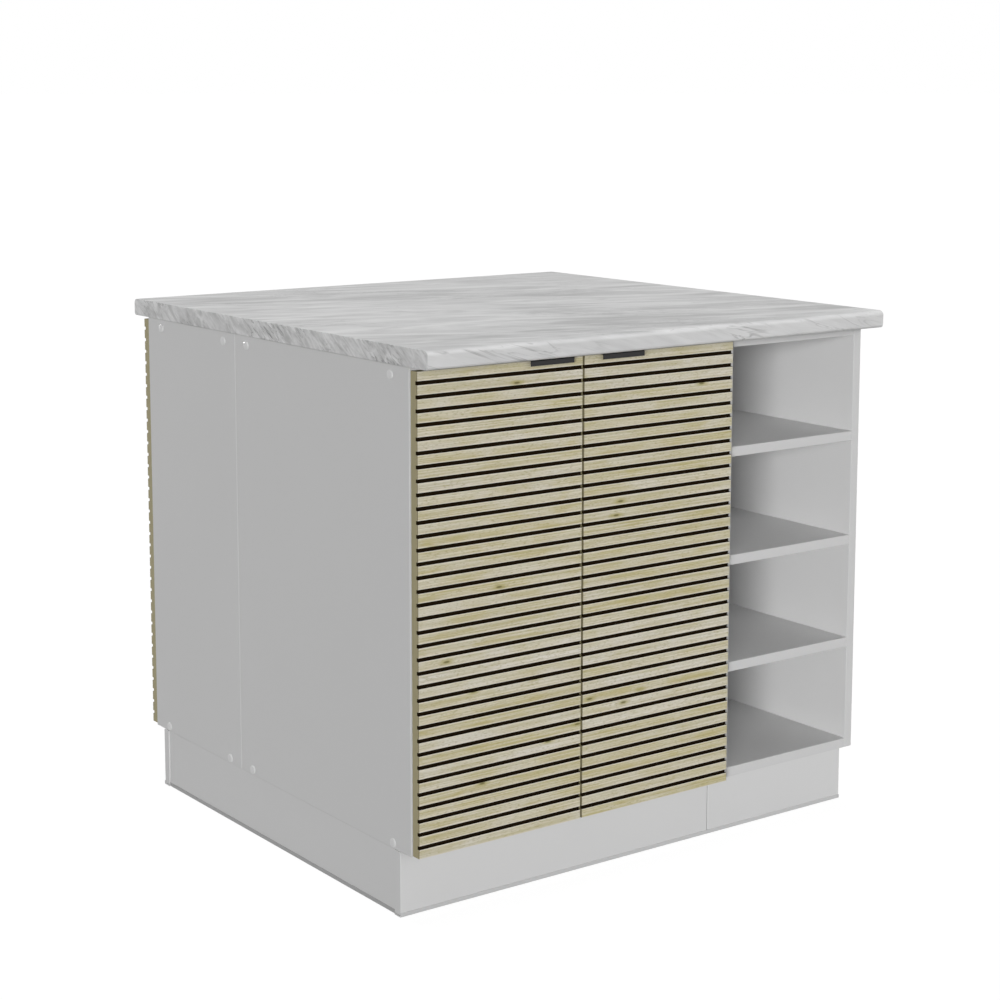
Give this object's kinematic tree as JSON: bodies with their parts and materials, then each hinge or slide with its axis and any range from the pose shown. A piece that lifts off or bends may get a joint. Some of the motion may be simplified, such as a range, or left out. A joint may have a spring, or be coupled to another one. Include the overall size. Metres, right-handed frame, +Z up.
{
  "type": "kitchen island unit",
  "caption": "Kitchen island of floor units back to back under a marble-effect worktop: slatted-door cupboard and open shelves in front, shallow cupboard behind.",
  "frame": {"origin": "on the floor, under the middle of the worktop", "axes": "-Y to the front, where the slatted-door cupboard and the open shelves are; +X to the right as seen from the front, where the open shelves are; +Z up"},
  "size_m": [0.903, 0.896, 0.848],
  "materials": {
    "worktop_laminate": "light grey marble-effect laminate on chipboard, satin",
    "white_board": "white melamine on chipboard, matt",
    "white_hardboard": "white painted hardboard, matt",
    "plinth_board": "white melamine on chipboard with a grey soft seal at the floor",
    "slatted_wood": "light ash-effect slats with black grooves, matt",
    "black_handle": "black powder coat, satin",
    "hinge_steel": "nickel-plated steel",
    "leg_plastic": "black moulded plastic, matt"
  },
  "bodies": {
    "island": {"worktop": "worktop_laminate", "cupboard_left_side": "white_board", "cupboard_right_side": "white_board", "cupboard_bottom": "white_board", "cupboard_front_rail": "white_board", "cupboard_rear_rail": "white_board", "cupboard_shelf": "white_board", "open_unit_left_side": "white_board", "open_unit_right_side": "white_board", "open_unit_bottom": "white_board", "open_unit_lower_shelf": "white_board", "open_unit_middle_shelf": "white_board", "open_unit_upper_shelf": "white_board", "open_unit_top": "white_board", "rear_unit_left_side": "white_board", "rear_unit_right_side": "white_board", "rear_unit_bottom": "white_board", "rear_unit_top": "white_board", "rear_unit_shelf": "white_board", "cupboard_back": "white_hardboard", "open_unit_back": "white_hardboard", "rear_unit_back": "white_hardboard", "plinth_front_wide": "plinth_board", "plinth_front_narrow": "plinth_board", "plinth_rear": "plinth_board", "plinth_left": "plinth_board", "plinth_right": "plinth_board", "leg_front_left": "leg_plastic", "leg_front_middle": "leg_plastic", "leg_front_right": "leg_plastic", "leg_seam_left": "leg_plastic", "leg_seam_middle": "leg_plastic", "leg_seam_right": "leg_plastic", "leg_rear_left": "leg_plastic", "leg_rear_middle": "leg_plastic", "leg_rear_right": "leg_plastic", "front_left_hinge_arm_lower": "hinge_steel", "front_left_hinge_arm_upper": "hinge_steel", "front_right_hinge_arm_lower": "hinge_steel", "front_right_hinge_arm_upper": "hinge_steel", "rear_left_hinge_arm_lower": "hinge_steel", "rear_left_hinge_arm_upper": "hinge_steel", "rear_right_hinge_arm_lower": "hinge_steel", "rear_right_hinge_arm_upper": "hinge_steel"},
    "front_left_door_leaf": {"front_left_door": "slatted_wood", "front_left_handle": "black_handle", "front_left_hinge_cup_lower": "hinge_steel", "front_left_hinge_cup_upper": "hinge_steel"},
    "front_right_door_leaf": {"front_right_door": "slatted_wood", "front_right_handle": "black_handle", "front_right_hinge_cup_lower": "hinge_steel", "front_right_hinge_cup_upper": "hinge_steel"},
    "rear_left_door_leaf": {"rear_left_door": "slatted_wood", "rear_left_handle": "black_handle", "rear_left_hinge_cup_lower": "hinge_steel", "rear_left_hinge_cup_upper": "hinge_steel"},
    "rear_right_door_leaf": {"rear_right_door": "slatted_wood", "rear_right_handle": "black_handle", "rear_right_hinge_cup_lower": "hinge_steel", "rear_right_hinge_cup_upper": "hinge_steel"}
  },
  "joints": [
    {"name": "front_left_door_hinge", "type": "hinge", "parent": "island", "child": "front_left_door_leaf", "pos_m": [-0.4485, -0.418, 0.459], "axis": [0, 0, -1], "range_deg": [0, 100]},
    {"name": "front_right_door_hinge", "type": "hinge", "parent": "island", "child": "front_right_door_leaf", "pos_m": [0.1485, -0.418, 0.459], "axis": [0, 0, 1], "range_deg": [0, 100]},
    {"name": "rear_left_door_hinge", "type": "hinge", "parent": "island", "child": "rear_left_door_leaf", "pos_m": [-0.4485, 0.418, 0.459], "axis": [0, 0, 1], "range_deg": [0, 100]},
    {"name": "rear_right_door_hinge", "type": "hinge", "parent": "island", "child": "rear_right_door_leaf", "pos_m": [0.4485, 0.418, 0.459], "axis": [0, 0, -1], "range_deg": [0, 100]}
  ]
}
